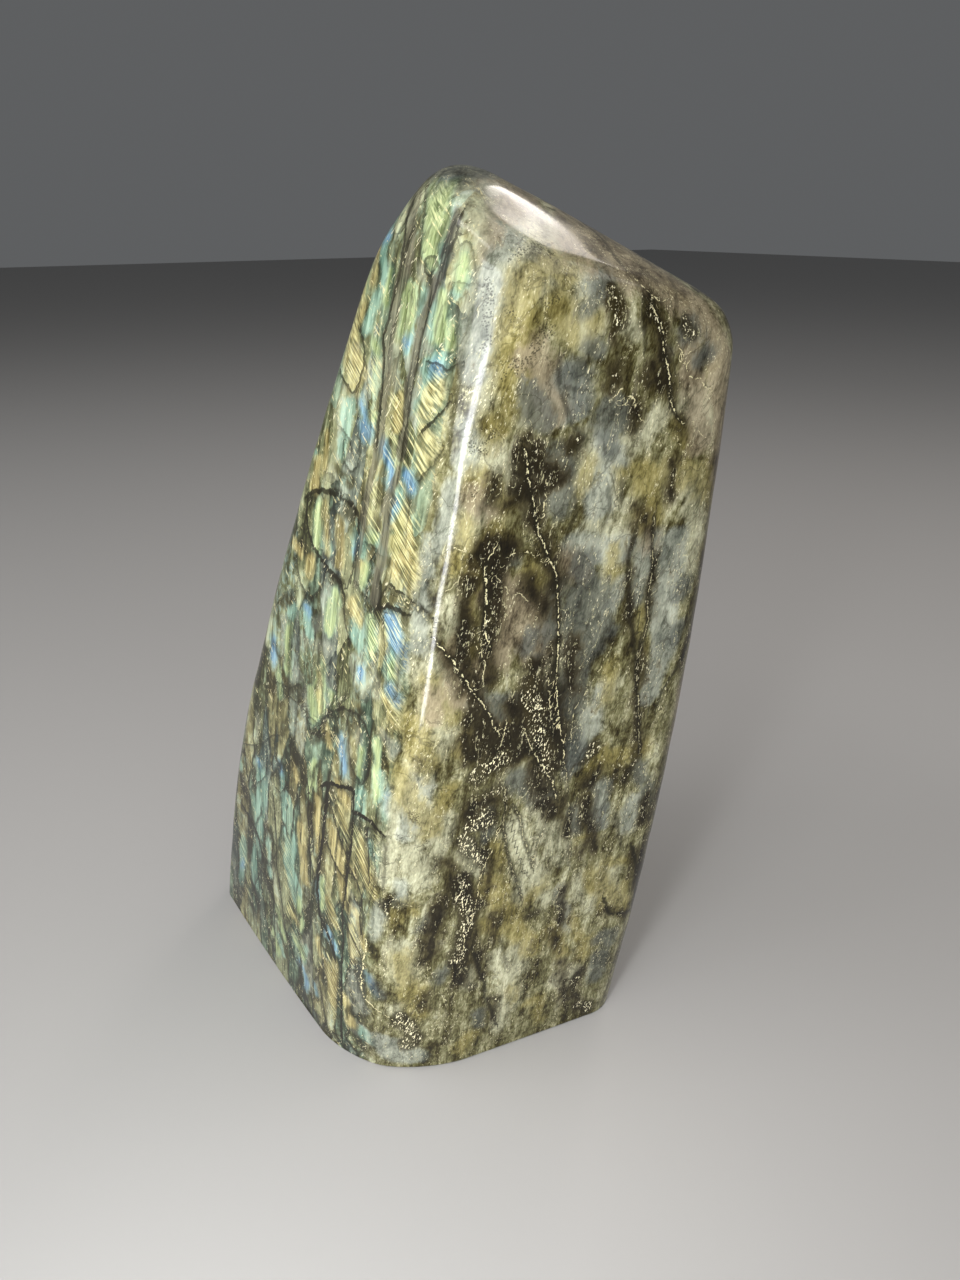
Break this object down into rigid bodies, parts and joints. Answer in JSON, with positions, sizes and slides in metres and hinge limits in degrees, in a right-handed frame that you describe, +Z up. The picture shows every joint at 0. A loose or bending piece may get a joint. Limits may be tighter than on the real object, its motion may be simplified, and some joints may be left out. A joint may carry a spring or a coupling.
{
  "type": "labradorite freeform",
  "caption": "Tall polished labradorite stone that stands on its flat sawn base, leaning and tapering to a bevelled tip, with one flashing face.",
  "frame": {"origin": "on the flat sawn base, under the middle of the stone", "axes": "+Z up, along the stone's height; the flash face looks towards -Y and the olive face towards +X"},
  "size_m": [0.1228, 0.0773, 0.198],
  "materials": {
    "polished_labradorite": "feldspar rock polished to a gloss, grey-olive with gold, green and blue flash"
  },
  "bodies": {
    "root": {"stone": "polished_labradorite"}
  },
  "joints": []
}
